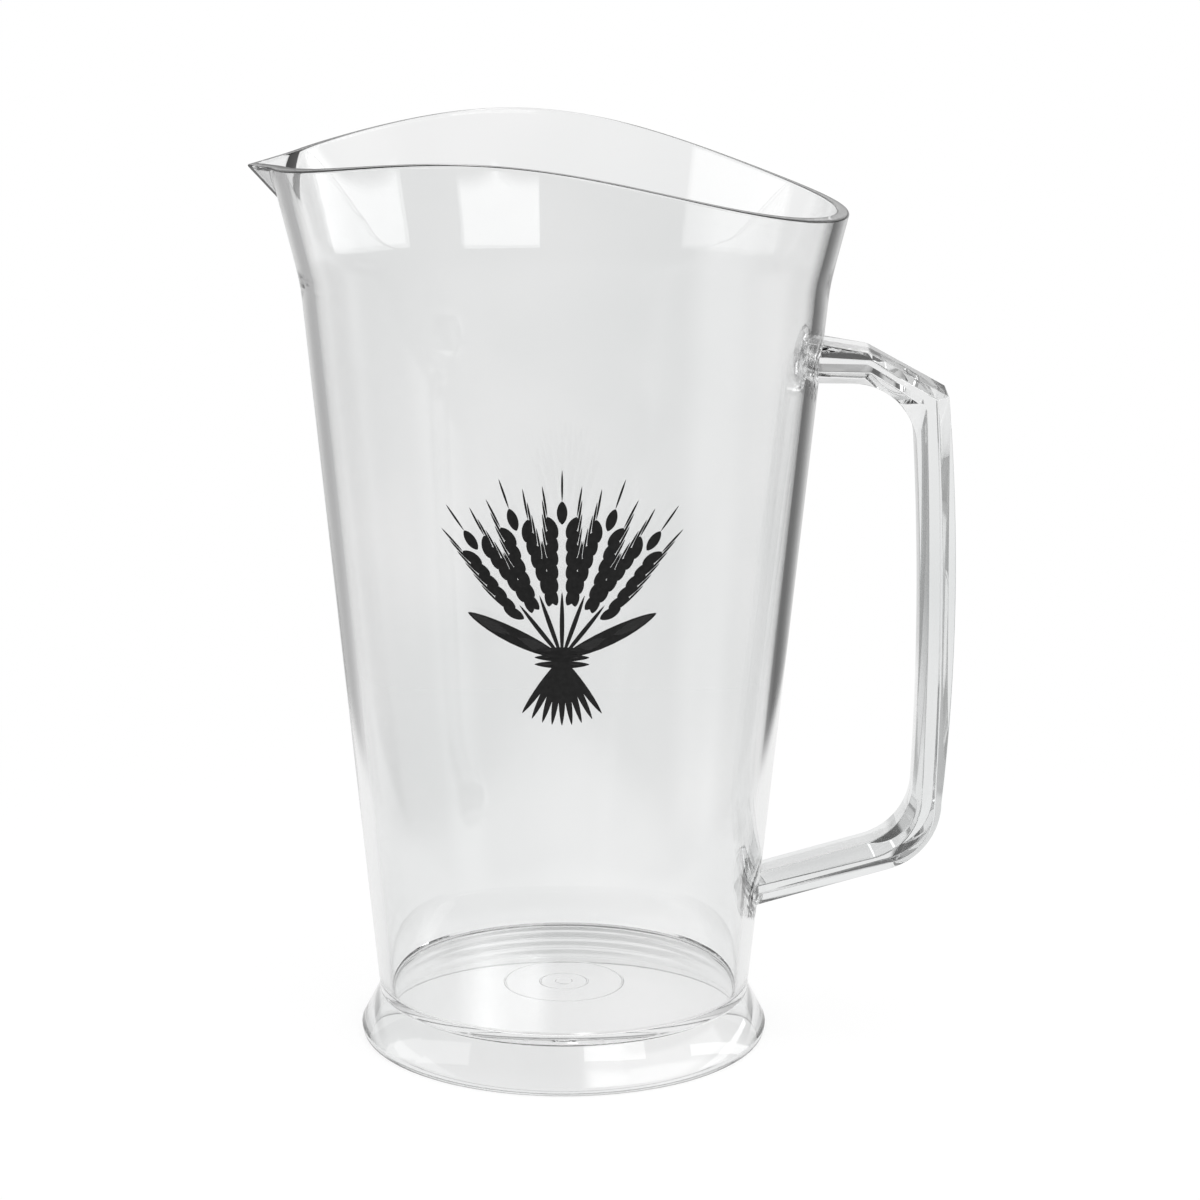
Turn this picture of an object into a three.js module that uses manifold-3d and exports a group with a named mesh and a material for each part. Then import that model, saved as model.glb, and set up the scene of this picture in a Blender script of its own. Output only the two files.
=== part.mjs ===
// A clear moulded plastic pitcher in millimetres, +Z up: a tapered wall with a waved rim and a pinched
// beak, a floor disc, a flared foot ring and a faceted handle.
// The handle is on the +X side, the beak is on the -X side, and the foot stands on Z = 0.
// Radii and reaches are taken from the axis of the round wall. The whole part is centred over Z in X.
import * as THREE from 'three';
import { ConvexGeometry } from 'three/addons/geometries/ConvexGeometry.js';
import { mergeVertices } from 'three/addons/utils/BufferGeometryUtils.js';
import Module from 'manifold-3d';

// Bond line between two mouldings
const bondGap = 0.3;

// Tapered wall, measured on its outside
const wallThickness = 4;
const wallHeight = 181.4;       // from the foot joint up to the ledge
const wallFootRadius = 47.2;
const ledgeRadius = 65.1;
const ledgeStep = 0.9;          // stacking ledge inside, where the wall gets thinner

// Flared rim above the ledge. Seen from the side, its top edge is a wave.
const flareLean = 0.248;        // outward for each millimetre up
const flareHeight = 35.8;       // from the ledge up to the crest of the wave
const rimThickness = 2.6;
const crestOffset = 19;         // from the axis to the crest, towards the beak
const handleSideReach = 112;    // along X, from the crest to the trough on the handle side
const handleSideDrop = 20.1;    // in height, from the crest down to that trough
const beakSideReach = 80;
const beakSideDrop = 9.2;

// Beak
const beakProjection = 6;       // the tip beyond the round rim
const beakDepth = 9.2;          // from the tip down to where the beak leaves the wall
const beakHalfWidth = 15.5;
const beakWall = 2.4;           // measured along X

// Joint of the wall, the floor and the foot
const spigotLength = 5.5;       // how deep the wall stands in the foot
const shoulderWidth = 1.9;      // step on the outside, above the spigot
const floorSeatDepth = 2;       // seat of the floor, below the foot joint
const floorSeatWidth = 2.4;

// Floor disc with its moulded rings and gate mark underneath
const floorThickness = 3.2;
const floorRingRadii = [6.1, 15.2];
const floorRingWidth = 0.8;
const floorRingRelief = 0.4;
const gateRadius = 2;
const gateRelief = 0.7;

// Foot ring
const footHeight = 12;
const footFlare = 4.7;          // the lip beyond the wall's foot
const lipHeight = 2.4;          // the widest point above the ground
const lipInset = 1;             // how far the round lip runs in under the widest point
const treadWidth = 2.2;         // flat ring that the pitcher stands on
const skirtDraft = 0.6;
const seatWebThickness = 2.2;   // web of the foot under the spigot

// Handle, in side view
const handleWidth = 22.6;
const handleChamfer = 2.2;
const fingerRoom = 23.8;        // between the wall and the grip, under the upper arm
const gripThickness = 7.9;      // at the ends of the grip
const gripOuterLean = 0.9;      // how much further out the grip ends at its foot, on both sides
const gripInnerLean = 1.6;
const gripOuterBow = 2.785;
const gripInnerBow = 1.2;
const upperArmDrop = 14.2;      // top of the arm at the wall, below the ledge
const upperArmHeight = 9.45;
const upperArmFall = 0.16;      // down for each millimetre outward
const thumbRun = 19.7;          // sloping thumb rest, measured along X
const thumbFall = 0.54;
const lowerArmLift = 24.4;      // underside of the arm at the wall, above the foot joint
const lowerArmHeight = 5.6;
const lowerArmRise = 0.3;       // up for each millimetre outward
const mitreRadius = 9;
const innerTopRadius = 16;
const outerCornerRadius = 18;
const innerCornerRadius = 17;

// Bosses inside the wall, behind the handle's roots
const bossRise = 2.4;
const bossHalfWidth = 13;
const bossHalfHeight = 8;

// Fineness of the facets
const turnSteps = 72;
const waveSteps = 18;
const cornerSteps = 6;
const bowSteps = 6;
const bossSteps = 24;
const tipRounds = 8;

// How far a cutting tool or a piece that is trimmed runs past the cut
const overrun = 12;

// Heights and reaches that follow from the sizes above
const ledgeZ = footHeight + wallHeight;
const crestZ = ledgeZ + flareHeight;
const spigotZ = footHeight - spigotLength;
const floorSeatZ = footHeight - floorSeatDepth;
const floorUnderZ = floorSeatZ + bondGap;
const spigotRadius = wallFootRadius - shoulderWidth;
const wallLean = (ledgeRadius - wallFootRadius) / wallHeight;

const wasm = await Module();
wasm.setup();

// Outside and inside of the wall and flare at a height
function outerRadius(z) {
  if (z <= ledgeZ) return wallFootRadius + wallLean * (z - footHeight);
  return ledgeRadius + flareLean * (z - ledgeZ);
}

function innerRadius(z) {
  return outerRadius(z) - wallThickness;
}

const seatBore = innerRadius(floorSeatZ) - floorSeatWidth;

// Height of the waved rim at a distance along X
function waveZ(x) {
  const fromCrest = x + crestOffset;
  const reach = fromCrest > 0 ? handleSideReach : beakSideReach;
  const drop = fromCrest > 0 ? handleSideDrop : beakSideDrop;
  const turn = Math.min(Math.abs(fromCrest) / reach, 1);
  return crestZ - (drop * (1 - Math.cos(Math.PI * turn))) / 2;
}

// A closed geometry becomes a solid that can be cut and joined
function toSolid(geometry) {
  geometry.deleteAttribute('normal');
  geometry.deleteAttribute('uv');
  const merged = mergeVertices(geometry);
  const corners = merged.index.array;
  const triangles = [];
  for (let i = 0; i < corners.length; i += 3) {
    const [a, b, c] = corners.slice(i, i + 3);
    if (a !== b && b !== c && c !== a) triangles.push(a, b, c);
  }
  return new wasm.Manifold(new wasm.Mesh({
    numProp: 3,
    vertProperties: Float32Array.from(merged.attributes.position.array),
    triVerts: Uint32Array.from(triangles),
  }));
}

// A profile of [radius, height] pairs, counterclockwise, turned about Z
function turned(profile) {
  const points = [...profile, profile[0]].map(([radius, z]) => new THREE.Vector2(radius, z));
  const geometry = new THREE.LatheGeometry(points, turnSteps);
  geometry.rotateX(Math.PI / 2);
  return toSolid(geometry);
}

// An outline in X and Z, centred on Y = 0, with an optional chamfer along its edges
function extruded(outline, width, chamfer = 0) {
  const geometry = new THREE.ExtrudeGeometry(new THREE.Shape(outline), {
    depth: width - 2 * chamfer,
    bevelEnabled: chamfer > 0,
    bevelThickness: chamfer,
    bevelSize: chamfer,
    bevelOffset: -chamfer,
    bevelSegments: 1,
  });
  geometry.translate(0, 0, chamfer - width / 2);
  geometry.rotateX(Math.PI / 2);
  return toSolid(geometry);
}

// Points of an arc that rounds a corner between its two neighbours
function rounded(before, corner, after, radius) {
  const back = before.clone().sub(corner).normalize();
  const ahead = after.clone().sub(corner).normalize();
  const halfAngle = Math.acos(back.dot(ahead)) / 2;
  const bisector = back.clone().add(ahead).normalize();
  const centre = corner.clone().addScaledVector(bisector, radius / Math.sin(halfAngle));
  const start = corner.clone().addScaledVector(back, radius / Math.tan(halfAngle)).sub(centre);
  const sweep = Math.sign(back.cross(ahead)) * (2 * halfAngle - Math.PI);
  const points = [];
  for (let i = 0; i <= cornerSteps; i += 1) {
    points.push(start.clone().rotateAround(new THREE.Vector2(), (sweep * i) / cornerSteps).add(centre));
  }
  return points;
}

// Points between two ends, pushed out along X by a bow that is largest midway
function bowed(from, to, bow) {
  const points = [];
  for (let i = 1; i < bowSteps; i += 1) {
    const share = i / bowSteps;
    const point = from.clone().lerp(to, share);
    point.x += 4 * bow * share * (1 - share);
    points.push(point);
  }
  return points;
}

// The wall with its outside, as a full solid that is larger by a margin
function wallBlank(margin) {
  const lowZ = footHeight - overrun;
  const topZ = crestZ + overrun;
  return turned([
    [0, lowZ],
    [outerRadius(lowZ) + margin, lowZ],
    [ledgeRadius + margin, ledgeZ],
    [outerRadius(topZ) + margin, topZ],
    [0, topZ],
  ]);
}

// The tip, the root and the two creases of the beak, on its outside.
// The tip is settled in a few rounds, because the wave's height there depends on the tip's reach.
let beakTipZ = crestZ;
let beakTipReach = 0;
for (let i = 0; i < tipRounds; i += 1) {
  beakTipReach = outerRadius(beakTipZ) + beakProjection;
  beakTipZ = waveZ(-beakTipReach);
}
const beakRootZ = beakTipZ - beakDepth;
const beakRoot = new THREE.Vector3(-outerRadius(beakRootZ), 0, beakRootZ);
const beakTip = new THREE.Vector3(-beakTipReach, 0, beakTipZ);
const creaseX = -Math.sqrt(outerRadius(beakTipZ) ** 2 - beakHalfWidth ** 2);
const beakCreases = [-1, 1].map((side) => new THREE.Vector3(creaseX, side * beakHalfWidth, beakTipZ));

// A pointed wedge with the beak's faces, moved in by a wall and running back by a depth.
// It stands taller than the rim, which trims it.
function beakWedge(inset, depth) {
  const aboveRim = 1 + overrun / beakDepth;
  const front = [beakRoot, beakTip, ...beakCreases].map((point) => {
    const raised = beakRoot.clone().lerp(point, point === beakRoot ? 0 : aboveRim);
    return raised.add(new THREE.Vector3(inset, 0, 0));
  });
  const rear = front.map((point) => point.clone().add(new THREE.Vector3(depth, 0, 0)));
  return toSolid(new ConvexGeometry([...front, ...rear]));
}

// Everything above the waved rim
function rimCutter() {
  const reach = beakTipReach + overrun;
  const outline = [];
  for (let i = -waveSteps; i <= waveSteps; i += 1) {
    const x = -crestOffset + ((reach + crestOffset) * i) / waveSteps;
    outline.push(new THREE.Vector2(x, waveZ(x)));
  }
  const topZ = crestZ + 2 * overrun;
  outline.push(new THREE.Vector2(outline.at(-1).x, topZ));
  outline.push(new THREE.Vector2(outline[0].x, topZ));
  return extruded(outline, 2 * reach);
}

// Side view of the handle
const upperTopZ = ledgeZ - upperArmDrop;
const upperUnderZ = upperTopZ - upperArmHeight;
const lowerUnderZ = footHeight + lowerArmLift;
const gripInnerX = outerRadius(upperUnderZ) + fingerRoom;
const gripOuterX = gripInnerX + gripThickness;
const lowerWallX = outerRadius(lowerUnderZ);
const buriedUpperX = outerRadius(upperUnderZ) - overrun;
const buriedLowerX = lowerWallX - overrun;

function lowerEdgeZ(x) {
  return lowerUnderZ + lowerArmRise * (x - lowerWallX);
}

function handleOutline() {
  const at = (x, z) => new THREE.Vector2(x, z);
  const upperWallX = outerRadius(upperTopZ);
  const mitreX = gripOuterX - thumbRun;
  const mitreZ = upperTopZ - upperArmFall * (mitreX - upperWallX);
  const topRoot = at(buriedUpperX, upperTopZ + upperArmFall * (upperWallX - buriedUpperX));
  const mitre = at(mitreX, mitreZ);
  const topCorner = at(gripOuterX, mitreZ - thumbFall * thumbRun);
  const outerCorner = at(gripOuterX + gripOuterLean, lowerEdgeZ(gripOuterX + gripOuterLean));
  const lowRoot = at(buriedLowerX, lowerEdgeZ(buriedLowerX));
  const lowInnerRoot = at(buriedLowerX, lowerEdgeZ(buriedLowerX) + lowerArmHeight);
  const gripFootX = gripInnerX + gripInnerLean;
  const innerCorner = at(gripFootX, lowerEdgeZ(gripFootX) + lowerArmHeight);
  const innerTop = at(gripInnerX, upperUnderZ);
  const topInnerRoot = at(buriedUpperX, upperUnderZ);

  const outerTurn = rounded(topCorner, outerCorner, lowRoot, outerCornerRadius);
  const innerTurn = rounded(lowInnerRoot, innerCorner, innerTop, innerCornerRadius);
  const innerTopTurn = rounded(innerCorner, innerTop, topInnerRoot, innerTopRadius);
  return [
    topRoot,
    ...rounded(topRoot, mitre, topCorner, mitreRadius),
    topCorner,
    ...bowed(topCorner, outerTurn[0], gripOuterBow),
    ...outerTurn,
    lowRoot,
    lowInnerRoot,
    ...innerTurn,
    ...bowed(innerTurn.at(-1), innerTopTurn[0], gripInnerBow),
    ...innerTopTurn,
    topInnerRoot,
  ];
}

// A swelling on the inside of the wall, behind a handle root
function rootBoss(z) {
  const swelling = new THREE.SphereGeometry(1, bossSteps, bossSteps / 2);
  swelling.scale(bossRise, bossHalfWidth, bossHalfHeight);
  swelling.translate(innerRadius(z), 0, z);
  return toSolid(swelling).intersect(wallBlank(0));
}

function bodyShell() {
  const topZ = crestZ + overrun;
  const wall = turned([
    [seatBore, spigotZ],
    [spigotRadius, spigotZ],
    [spigotRadius, footHeight],
    [wallFootRadius, footHeight],
    [ledgeRadius, ledgeZ],
    [outerRadius(topZ), topZ],
    [outerRadius(topZ) - rimThickness, topZ],
    [innerRadius(ledgeZ) + ledgeStep, ledgeZ],
    [innerRadius(ledgeZ), ledgeZ],
    [innerRadius(floorSeatZ), floorSeatZ],
    [seatBore, floorSeatZ],
  ]);
  const upperBoss = rootBoss(upperTopZ - upperArmHeight / 2);
  const lowerBoss = rootBoss(lowerUnderZ + lowerArmHeight / 2);
  return wall
    .add(upperBoss)
    .add(lowerBoss)
    .add(beakWedge(0, rimThickness / 2))
    .subtract(beakWedge(beakWall, overrun))
    .subtract(rimCutter());
}

function floorDisc() {
  const topZ = floorUnderZ + floorThickness;
  const rings = floorRingRadii.flatMap((radius) => [
    [radius - floorRingWidth / 2, floorUnderZ],
    [radius, floorUnderZ - floorRingRelief],
    [radius + floorRingWidth / 2, floorUnderZ],
  ]);
  return turned([
    [0, floorUnderZ - gateRelief],
    [gateRadius, floorUnderZ - gateRelief],
    [gateRadius, floorUnderZ],
    ...rings,
    [innerRadius(floorUnderZ) - bondGap, floorUnderZ],
    [innerRadius(topZ) - bondGap, topZ],
    [0, topZ],
  ]);
}

function footRing() {
  const topZ = footHeight - bondGap;
  const seatZ = spigotZ - bondGap;
  const webZ = seatZ - seatWebThickness;
  const socketRadius = spigotRadius + bondGap;
  const treadOuter = wallFootRadius + footFlare - lipInset;
  const treadInner = treadOuter - treadWidth;
  const lip = [];
  for (let i = 0; i <= cornerSteps; i += 1) {
    const turn = ((Math.PI / 2) * i) / cornerSteps;
    lip.push([treadOuter + lipInset * Math.sin(turn), lipHeight * (1 - Math.cos(turn))]);
  }
  return turned([
    [treadInner, 0],
    ...lip,
    [wallFootRadius, topZ],
    [socketRadius, topZ],
    [socketRadius, seatZ],
    [seatBore, seatZ],
    [seatBore, webZ],
    [treadInner - skirtDraft, webZ],
  ]);
}

const handleSide = handleOutline();
const handleReach = Math.max(...handleSide.map((point) => point.x));

function handle() {
  return extruded(handleSide, handleWidth, handleChamfer).subtract(wallBlank(bondGap));
}

// A named piece with its own clear plastic
function piece(name, solid, color) {
  const mesh = solid.getMesh();
  const geometry = new THREE.BufferGeometry();
  geometry.setAttribute('position', new THREE.BufferAttribute(mesh.vertProperties, 3));
  geometry.setIndex(new THREE.BufferAttribute(mesh.triVerts, 1));
  geometry.computeVertexNormals();
  const material = new THREE.MeshStandardMaterial({
    color,
    roughness: 0.06,
    metalness: 0,
    transparent: true,
    opacity: 0.35,
  });
  const part = new THREE.Mesh(geometry, material);
  part.name = name;
  return part;
}

const pitcher = new THREE.Group();
pitcher.position.x = (beakTipReach - handleReach) / 2;
pitcher.add(
  piece('body_shell', bodyShell(), 0xe8ecee),
  piece('floor_disc', floorDisc(), 0xe4e8ea),
  piece('foot_ring', footRing(), 0xe2e6e8),
  piece('handle', handle(), 0xe6eaec),
);

export default pitcher;
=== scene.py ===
"""Looks of a clear plastic pitcher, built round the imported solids.

Sizes are in millimetres and angles in degrees, unless a comment says otherwise.
"""
import math

import bpy
from mathutils import Matrix, Vector


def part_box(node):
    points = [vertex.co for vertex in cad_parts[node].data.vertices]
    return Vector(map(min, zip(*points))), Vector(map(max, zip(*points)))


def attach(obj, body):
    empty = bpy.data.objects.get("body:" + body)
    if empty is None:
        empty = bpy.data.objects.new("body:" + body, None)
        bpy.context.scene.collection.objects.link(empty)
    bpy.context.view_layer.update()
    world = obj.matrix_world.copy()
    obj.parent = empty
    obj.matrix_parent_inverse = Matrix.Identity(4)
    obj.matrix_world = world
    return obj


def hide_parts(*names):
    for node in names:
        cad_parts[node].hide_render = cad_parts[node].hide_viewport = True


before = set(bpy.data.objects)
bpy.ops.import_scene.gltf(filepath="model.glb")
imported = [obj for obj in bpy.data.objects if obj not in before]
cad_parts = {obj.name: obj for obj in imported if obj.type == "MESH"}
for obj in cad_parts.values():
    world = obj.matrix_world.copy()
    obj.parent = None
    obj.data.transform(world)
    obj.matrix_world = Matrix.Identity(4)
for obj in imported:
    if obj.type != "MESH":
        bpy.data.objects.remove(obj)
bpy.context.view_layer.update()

MM = 0.001
foot_low, foot_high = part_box("foot_ring")
AXIS_X = (foot_low.x + foot_high.x) / 2 / MM      # the round wall's axis in the shared frame

# Wall and flare, measured on the outside, with radii from the wall's axis
BOND_GAP = 0.02             # between two bonded faces
WALL_THICKNESS = 3.2
WALL_FOOT_Z = 12.0
WALL_FOOT_RADIUS = 47.2
LEDGE_Z = 193.4
LEDGE_RADIUS = 65.1
LEDGE_BEND = 4.0            # half the height over which the wall bends into the flare
FLARE_LEAN = 0.248
RIM_ROUND = 0.6
RIM_SUPPORT = 0.15          # of even wall between the rounding and the next row
WALL_LEAN = (LEDGE_RADIUS - WALL_FOOT_RADIUS) / (LEDGE_Z - WALL_FOOT_Z)

# Waved top edge
CREST_Z = 229.2
CREST_OFFSET = 19.0
HANDLE_SIDE_REACH, HANDLE_SIDE_DROP = 112.0, 20.1
BEAK_SIDE_REACH, BEAK_SIDE_DROP = 80.0, 9.2

# Beak
BEAK_PROJECTION = 6.3
BEAK_DEPTH = 9.2
BEAK_HALF_WIDTH = 15.5
BEAK_WALL = 3.6             # along X
BEAK_SOFTNESS = (0.6, 0.9)  # rounding of the creases outside and inside
BEAK_COLUMNS = 16           # columns of faces on each flat side of the beak
BEAK_EASE_COLUMNS = 34      # columns over which the crowded columns spread out again
BEAK_EASE_HEIGHT = 18.0
BEAK_LEAST_FAN = 0.02       # share of their spread that the columns keep above the beak's root
BEAK_CROWDING = 1.4         # power by which the columns crowd towards the crease

# Floor, bonded inside the wall and the foot
FLOOR_UNDER_Z = 10.3
FLOOR_THICKNESS = 3.2
FLOOR_FILLET = 1.0
FLOOR_RINGS = (6.1, 15.2)
FLOOR_RING_WIDTH, FLOOR_RING_RELIEF = 0.7, 0.12
GATE_RADIUS, GATE_RELIEF = 2.0, 0.3

# Foot, with a groove where the wall stands on it
FOOT_FLARE = 4.7
LIP_HEIGHT, LIP_INSET = 2.4, 1.0
TREAD_WIDTH = 2.2
GROOVE_ROUND = 0.4

# Margins within which a face counts as lying on a bonded radius and on a bonded level
BOND_MARGIN, LEVEL_MARGIN = 0.1, 0.001

# Handle, in side view: the outline of its core, between the chamfers
HANDLE_TOP_Z, HANDLE_FOOT_Z = 180.0, 48.0
HANDLE_HALF_WIDTHS = (11.3, 10.5)       # at those two heights, as are the chamfers' depths across
OUTER_CHAMFER_DEPTHS, INNER_CHAMFER_DEPTHS = (3.0, 2.5), (3.0, 5.5)
FINGER_ROOM = 23.8
GRIP_THICKNESS = 7.9
GRIP_OUTER_LEAN, GRIP_INNER_LEAN = 0.9, 1.6
GRIP_OUTER_BOW, GRIP_INNER_BOW = 2.5, 1.2
UPPER_ARM_DROP, UPPER_ARM_HEIGHT, UPPER_ARM_FALL = 14.2, 9.45, 0.16
THUMB_RUN, THUMB_FALL = 19.7, 0.54
LOWER_ARM_LIFT, LOWER_ARM_HEIGHT, LOWER_ARM_RISE = 23.87, 7.5, 0.3
MITRE_RADIUS, INNER_TOP_RADIUS = 5.0, 16.0
OUTER_CORNER_RADIUS, INNER_CORNER_RADIUS = 18.0, 17.0
ROOT_DEPTH = 5.0            # of the handle's ends before the wall trims them

# Handle, in side view: the corners of its flat sides, by distance from the wall's axis and height
SIDE_TOP_MITRE, SIDE_TOP_CORNER, SIDE_OUTER_CORNER = (75.1, 176.1), (91.6, 166.4), (93.7, 51.1)
SIDE_INNER_CORNER, SIDE_THUMB_CORNER, SIDE_UNDER_MITRE = (90.2, 52.7), (88.95, 164.55), (75.0, 173.0)
SIDE_TOP_FALL, SIDE_UNDER_FALL, SIDE_OUTER_RISE, SIDE_INNER_RISE = 0.05, 0.01, 0.26, 0.27
SIDE_OUTER_BOW, SIDE_INNER_BOW = 1.35, 1.15
SIDE_MITRE_RADIUS, SIDE_OUTER_RADIUS, SIDE_INNER_RADIUS = 1.0, 14.0, 16.0
EDGE_ROUND, EDGE_ANGLE, EDGE_SEGMENTS = 0.3, 18, 2     # rounding of every edge sharper than the angle
ROOT_SINK = 0.1             # how deep the handle's roots stand in the wall
ROOT_GROOVE = 0.27
POCKET_RIM = 0.5            # of the wall's depth that is cleaned round the roots
HAIR = 0.03                 # faces thinner than this are taken out there

# Bosses inside the wall, behind the handle's roots
BOSS_RISE, BOSS_HALF_WIDTH, BOSS_HALF_HEIGHT = 2.4, 13.0, 8.0
BOSS_MARGIN = 1.0           # of finer rows above and below a boss
INNER_FACE_MARGIN = 0.5     # within which a point belongs to the wall's inner face

# Print on the wall: a tied sheaf of barley, in millimetres across and up from its middle
PRINT_Z, PRINT_FACING = 126.0, 1.65
PRINT_LIFT, PRINT_THICKNESS = 0.03, 0.05
TIE_HEIGHT, TIE_LENGTH, TIE_WIDTH, TIE_PITCH = -14.0, 13.0, 1.9, 1.7
EAR_LEANS, EAR_START = (-38, -19, 0, 19, 38), 13.0
GRAIN_PAIRS, GRAIN_PITCH = 6, 3.3
GRAIN_LENGTH, GRAIN_WIDTH, GRAIN_LEAN, GRAIN_ASIDE = 5.6, 2.5, 24.0, 1.2
AWN_LENGTH, AWN_WIDTH, AWN_LEAN = 7.5, 0.5, 9.0
STEM_WIDTH, STRAW_LENGTH, STRAW_WIDTH = 1.1, 17.0, 1.7
STRAW_LEANS = (-34, -25, -16, -8, 0, 8, 16, 25, 34)
BLADE_LEAN, BLADE_LENGTH, BLADE_WIDTH = 66.0, 25.0, 4.0
LEAF_POINTEDNESS = 0.2      # power by which a leaf narrows to its tips

# Fineness of the meshes
LEAF_POINTS = 24
TURN_STEPS = 360
CORNER_STEPS, MITRE_STEPS = 16, 2
BOW_STEPS = 16
RIM_STEPS = 10
GROOVE_STEPS = 6
FILLET_STEPS, RING_STEPS = 8, 8
BEND_ROWS, FLARE_ROWS, BOSS_ROWS = 8, 8, 18
MERGE_DISTANCE = 0.002
SETTLING_ROUNDS = 8         # until a point that depends on its own height settles
WALL_SMOOTH, FLOOR_SMOOTH, FOOT_SMOOTH, HANDLE_SMOOTH = 12, 25, 20, 180    # angles shaded smooth
FACE_WEIGHT = 100           # of large faces in the handle's shading

# Clear plastic: its tint, haze and index of refraction, and the light that passes it from the lamp
CLEAR_TINT = (0.985, 0.985, 0.985, 1)
CLOUDED_TINT = (0.955, 0.958, 0.958, 1)
MOST_HAZE = 0.02
PLASTIC_IOR = 1.57
LAMP_PASS = (0.8, 0.8, 0.8, 1)
CLOUD_SCALE, CLOUD_DETAIL, CLOUD_SPAN = 14, 2, (0.3, 0.7)
SMEAR_SCALE, SMEAR_DETAIL, SMEAR_SPAN = 55, 4, (0.52, 0.8)
RIPPLE_DETAIL = 1
BOND_DEPTH = 0.3            # of the tint on a bonded face

# Depth of each piece's tint, and the scale and the height of its ripples
WALL_FINISH = (2.6, 30, 0.01)
FLOOR_FINISH = (0.8, 50, 0.005)
# The foot's tint is deeper than its plastic alone would give: part of it is painted shade that darkens
# the whole foot as the shaded ground under it would
FOOT_FINISH_AND_PAINTED_SHADE = (3.5, 40, 0.02)
HANDLE_FINISH = (6.0, 60, 0.02)

# Ink
INK_TONES = ((0.35, 0.006), (0.7, 0.014))
INK_ROUGHNESS = (0.4, 0.55)
INK_GLOSS, SPECKLE_SCALE, SPECKLE_DETAIL = 0.3, 900, 3

# What the plastic mirrors from above the ground, by share of a turn (0 left, 0.25 front, 0.5 right and
# 0.75 behind): a white sweep behind with a bright strip in it, and a dark room
ROOM_TONES = (
    (0.0, 0.25), (0.06, 0.2), (0.45, 0.25), (0.52, 0.5), (0.66, 0.85), (0.759, 0.9),
    (0.7592, 2.0), (0.7619, 2.0), (0.7621, 0.9), (0.80, 0.9), (0.86, 0.8), (0.96, 0.5), (1.0, 0.25),
)
SWEEP_LOW, SWEEP_HIGH = 0.08, 0.5              # sines of the heights at which the tones start and end
SWEEP_LOW_EDGE, SWEEP_HIGH_EDGE = 0.03, 0.1    # and how soft they do
HORIZON_TONE, OVERHEAD_TONE = 0.35, 0.12

# Softboxes in that room: turn shares at both ends, height of the low and of the high edge at both ends,
# level and softness of the edges
SOFTBOXES = (
    (0.289, 0.349, (13.0, 12.5), (21.5, 20.8), 2.6, 0.4),
    (0.341, 0.395, (12.5, 12.0), (20.95, 19.3), 2.6, 0.4),
    (0.475, 0.64, (11.5, 3.0), (16.2, 5.9), 2.7, 0.5),
    (-0.01, 0.1, (8.0, 12.0), (17.0, 22.0), 1.6, 1.0),
    (0.93, 1.01, (6.0, 8.0), (11.0, 17.0), 1.6, 1.0),
    (0.28, 0.39, (23.0, 22.0), (46.0, 44.0), 2.4, 6.0),
    (0.36, 0.57, (23.2, 10.8), (36.0, 21.0), 1.9, 2.5),
    (0.42, 0.68, (36.0, 36.0), (56.0, 56.0), 0.7, 6.0),
)
FULL_TURN_SOFTNESS = 180    # softness at which a softbox's ends would fade over a full turn

# What shows through the plastic from above the ground, by height
BACKDROP_TONES = ((0, 1.0), (12, 1.0), (20, 0.85), (30, 0.6), (45, 0.22), (70, 0.12))

# What the plastic mirrors from the ground: an oval of lit paper round the pitcher and the table beyond it
PAPER_TONES = ((0.0, 0.8), (0.15, 0.9), (0.35, 0.9), (0.5, 0.8), (0.6, 0.9), (0.9, 0.9), (1.0, 0.8))
TABLE_TONES = (
    (0.0, 0.3), (0.1, 0.45), (0.4, 0.4), (0.43, 0.95), (0.47, 0.95), (0.5, 0.5), (0.605, 0.75),
    (0.628, 0.17), (0.655, 0.15), (0.667, 0.23), (0.681, 0.28), (0.70, 0.62), (0.75, 0.7), (0.80, 0.78),
    (0.825, 0.5), (0.84, 0.43), (0.872, 0.5), (0.895, 0.8), (0.96, 0.7), (1.0, 0.3),
)
PAPER_MIDDLE_Y = 85.0
PAPER_HALF_WIDTH, PAPER_HALF_DEPTH = 180.0, 340.0
PAPER_EDGE = (0.9, 1.1)     # shares of that size

# How much of the ground under the foot, beside it and far from it is paper white whatever the lamp does
FOOT_REACH, FOOT_EDGE = 52.0, 10.0
WHITE_UNDER, WHITE_BESIDE, WHITE_FAR = 0.75, 0.92, 1.0
BESIDE_REACH, FAR_REACH = 100.0, 350.0
MIRRORED_UNDER = 1.2        # level under the foot where the ground is mirrored
UNDER_SHARE = 0.8           # of the foot's reach that has this level all over
GROUND_SIZE, GROUND_DROP = 40000.0, 0.1
GROUND_COLOUR, GROUND_ROUGHNESS = 0.9, 0.8

# Lamp over the ground
FILL_PLACE, FILL_FACING = (0, -200.0, 1400.0), (0, 0.1, -1)
FILL_SIZE, FILL_LEVEL = 1200.0, 5.5     # level: radiance of the lamp's face

# Camera at the photograph's viewpoint
CAMERA_PLACE = (34.65, -873.61, 316.17)
CAMERA_AZIMUTH, CAMERA_ELEVATION, CAMERA_ROLL = 1.6905, 13.097, 0.2615
CAMERA_LENS, CAMERA_SENSOR = 107.166, 36.0
CAMERA_CLIP = (50.0, 50000.0)

# Light bounces
PATH_BOUNCES, MIRROR_BOUNCES = 24, 12

# Colour sockets of a Mix node
MIX_FIRST, MIX_SECOND, MIX_RESULT = 6, 7, 2

floor_top_z = FLOOR_UNDER_Z + FLOOR_THICKNESS
floor_edge_z = floor_top_z + FLOOR_FILLET

# Spread of the columns at the beak, in radians
COLUMN = 2 * math.pi / TURN_STEPS
FAN = BEAK_COLUMNS * COLUMN
FAN_EASE = BEAK_EASE_COLUMNS * COLUMN

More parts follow.
